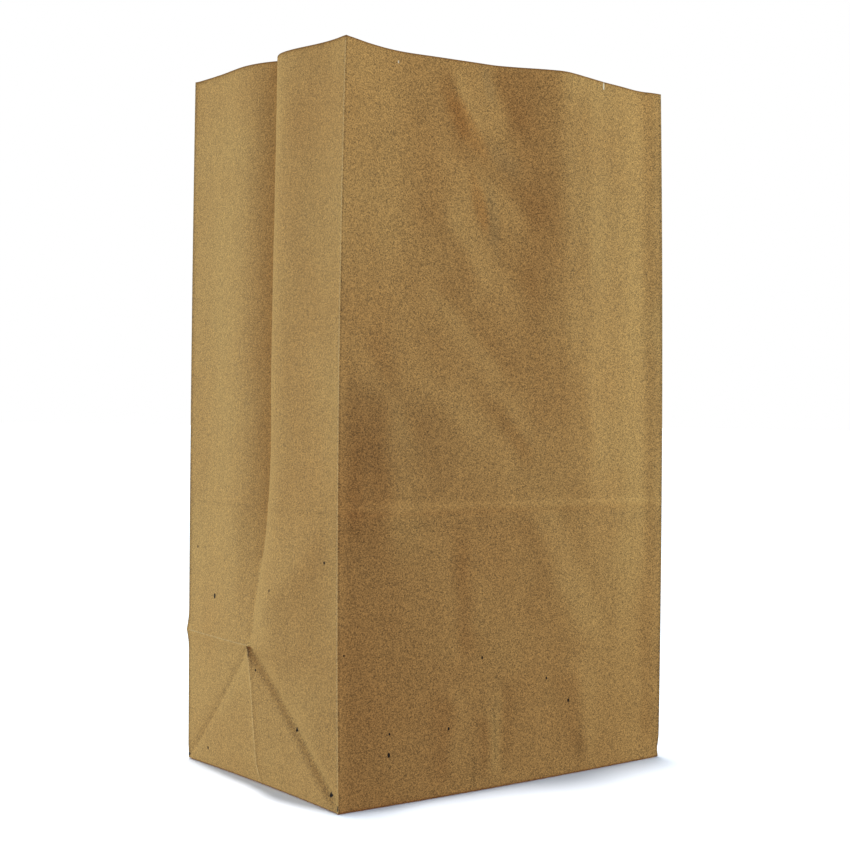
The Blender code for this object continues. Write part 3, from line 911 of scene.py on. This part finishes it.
def marked(s, colour, solid, sheet, ragged):
    """Colour with its tinted patches and its patches of painted shade and light, flecks, bark
    specks, nicks, cut edge, and painted shade in the slits at the apexes.
    """
    for start, end, width, shift in TINT_AND_PAINTED_LIGHT_PATCHES:
        patch = soft_patch(s, sheet, ragged, start, end, width)
        colour = s.tint(colour, patch, shift, "MULTIPLY")
    for cells, radius, share, strength, fleck_colour in FLECKS:
        spots = s.math("MULTIPLY", flecks(s, solid, cells, radius, share), strength)
        colour = s.tint(colour, spots, fleck_colour)
    for place, level, radius in SPECKS:
        away = s.vector("SUBTRACT", sheet, (place, level, 0.0))
        size = s.vector("LENGTH", s.vector("MULTIPLY", away, SPECK_SHAPE), (0.0, 0.0, 0.0))
        spot = s.remap(size, radius * SPECK_CORE, radius, 1.0, 0.0)
        colour = s.tint(colour, spot, SPECK_AND_SLIT_SHADE_COLOUR)
    for start, end, width in NICKS:
        colour = s.tint(colour, crease_line(s, sheet, start, end, width), NICK_PALE)
    edge = s.remap(s.node("ShaderNodeSeparateXYZ", {0: sheet}).outputs["Y"], *CUT_EDGE)
    colour = s.tint(colour, edge, EDGE_BROWN)
    # Painted shade in the slit below each gusset's apex, where the folds meet
    length, width = APEX_SLIT_SHADE
    for fold in (RIGHT_FOLD, LEFT_FOLD):
        slit_shade = crease_line(s, sheet, (fold, APEX_LEVEL), (fold, APEX_LEVEL - length), width)
        colour = s.tint(colour, slit_shade, SPECK_AND_SLIT_SHADE_COLOUR)
    return colour


def kraft_paper():
    """Brown kraft: mottled sheet, fibres along its grain, specks, creases rubbed light, and painted
    light and shade along its folds.
    """
    s = Shading("kraft_paper")
    solid = s.node("ShaderNodeTexCoord").outputs["Object"]
    sheet = s.node("ShaderNodeUVMap", uv_map=SHEET_MAP).outputs["UV"]
    noises = {
        "clouds": s.noise(solid, *CLOUDS),
        "mottle": s.noise(solid, *MOTTLE),
        "streaks": s.noise(s.vector("MULTIPLY", solid, STREAK_STRETCH), *STREAKS),
        "fibres": s.noise(s.vector("MULTIPLY", solid, FIBRE_STRETCH), *FIBRES),
        "grain": s.noise(solid, *GRAIN),
    }
    grain = noises["grain"]
    colour = shaded_pulp(s, solid, sheet, noises)
    colour = marked(s, colour, solid, sheet, noises["mottle"])
    worn = s.sum([crease_line(s, sheet, *line) for line in worn_creases()])
    rubbed = s.math("MULTIPLY", worn, s.remap(grain, *WORN_FIBRE), clamp=True)
    s.feed(s.shader.inputs["Base Color"], s.tint(colour, rubbed, FIBRE_PALE))

    height = s.sum([
        grain,
        s.math("MULTIPLY", noises["streaks"], FIBRE_RELIEF),
        s.math("MULTIPLY", noises["fibres"], FIBRE_RELIEF),
        s.math("MULTIPLY", worn, WORN_RELIEF),
    ])
    inputs = {"Height": height, "Distance": GRAIN_HEIGHT, "Strength": BUMP_STRENGTH}
    s.feed(s.shader.inputs["Normal"], s.node("ShaderNodeBump", inputs).outputs["Normal"])
    s.feed(s.shader.inputs["Roughness"], s.remap(grain, *GRAIN_ROUGHNESS))
    s.shader.inputs["Specular IOR Level"].default_value = GLOSS
    return s.material


def area_light(name, place, target, size, power, colour):
    lamp = bpy.data.lights.new(name, "AREA")
    lamp.shape = "RECTANGLE"
    lamp.size, lamp.size_y = size
    lamp.energy = power
    lamp.color = colour
    obj = bpy.data.objects.new(name, lamp)
    obj.location = place
    aim = Vector(target) - Vector(place)
    obj.rotation_euler = aim.to_track_quat("-Z", "Y").to_euler()
    bpy.context.scene.collection.objects.link(obj)
    return obj


def white_surroundings():
    """White to look at, but only a weak fill, so that the lamps shape the folds."""
    world = bpy.data.worlds.new("studio")
    world.use_nodes = True
    nodes, links = world.node_tree.nodes, world.node_tree.links
    path = nodes.new("ShaderNodeLightPath")
    colour = nodes.new("ShaderNodeMix")
    colour.data_type = "RGBA"
    colour.inputs[MIX_A].default_value = FILL_COLOUR
    colour.inputs[MIX_B].default_value = WHITE
    links.new(path.outputs["Is Camera Ray"], colour.inputs[0])
    links.new(colour.outputs[MIX_RESULT], nodes["Background"].inputs["Color"])
    bpy.context.scene.world = world


def white_floor():
    """Wide floor that the camera sees, but that throws no light back on the bag."""
    mesh = bpy.data.meshes.new("floor")
    bm = bmesh.new()
    bmesh.ops.create_grid(bm, x_segments=1, y_segments=1, size=FLOOR_HALF_SIDE)
    bm.to_mesh(mesh)
    bm.free()
    floor = bpy.data.objects.new("floor", mesh)
    floor.location.z = -FLOOR_DROP
    bpy.context.scene.collection.objects.link(floor)
    material = bpy.data.materials.new("floor")
    material.use_nodes = True
    shader = material.node_tree.nodes["Principled BSDF"]
    shader.inputs["Base Color"].default_value = FLOOR_COLOUR
    shader.inputs["Roughness"].default_value = FLOOR_ROUGHNESS
    floor.data.materials.append(material)
    floor.visible_diffuse = False
    floor.visible_glossy = False
    return floor


def floor_light(name, strength, angle, lean, colour):
    """Light from above that leans by a share of its height along X and Y."""
    lamp = bpy.data.lights.new(name, "SUN")
    lamp.energy = strength
    lamp.angle = angle
    lamp.color = colour
    obj = bpy.data.objects.new(name, lamp)
    obj.rotation_euler = Vector((*lean, -1.0)).to_track_quat("-Z", "Y").to_euler()
    bpy.context.scene.collection.objects.link(obj)
    return obj


def light_only(lamps, floor, state):
    """Lamps that light the floor alone, or all but the floor."""
    group = bpy.data.collections.new("floor_" + state.lower())
    group.objects.link(floor)
    group.collection_objects[0].light_linking.link_state = state
    for lamp in lamps:
        lamp.light_linking.receiver_collection = group


def studio():
    bpy.context.scene.view_settings.view_transform = "Standard"
    white_surroundings()
    floor = white_floor()
    light_only([floor_light(*light) for light in FLOOR_LIGHTS], floor, "INCLUDE")
    light_only([area_light(*lamp) for lamp in LAMPS], floor, "EXCLUDE")


def photo_camera():
    camera = bpy.data.cameras.new("photo_camera")
    camera.sensor_width = SENSOR_MM
    camera.lens = FOCAL_PX / PHOTO_SIDE_PX * SENSOR_MM
    camera.dof.use_dof = False
    obj = bpy.data.objects.new("photo_camera", camera)
    forward = Vector((
        math.sin(CAMERA_YAW) * math.cos(CAMERA_PITCH),
        math.cos(CAMERA_YAW) * math.cos(CAMERA_PITCH),
        math.sin(CAMERA_PITCH),
    ))
    level_right = Vector((math.cos(CAMERA_YAW), -math.sin(CAMERA_YAW), 0.0))
    level_up = level_right.cross(forward)
    right = level_right * math.cos(CAMERA_ROLL) + level_up * math.sin(CAMERA_ROLL)
    up = level_up * math.cos(CAMERA_ROLL) - level_right * math.sin(CAMERA_ROLL)
    turn = Matrix((right, up, -forward)).transposed().to_4x4()
    obj.matrix_world = Matrix.Translation(CAMERA_PLACE) @ turn
    bpy.context.scene.collection.objects.link(obj)
    bpy.context.scene.camera = obj


photo_camera()
studio()
paper = kraft_paper()
for piece in [build_walls(), build_seam()] + build_flaps():
    piece.data.materials.append(paper)
    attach(piece, "root")
    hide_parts("paper_bag")
bpy.context.view_layer.update()
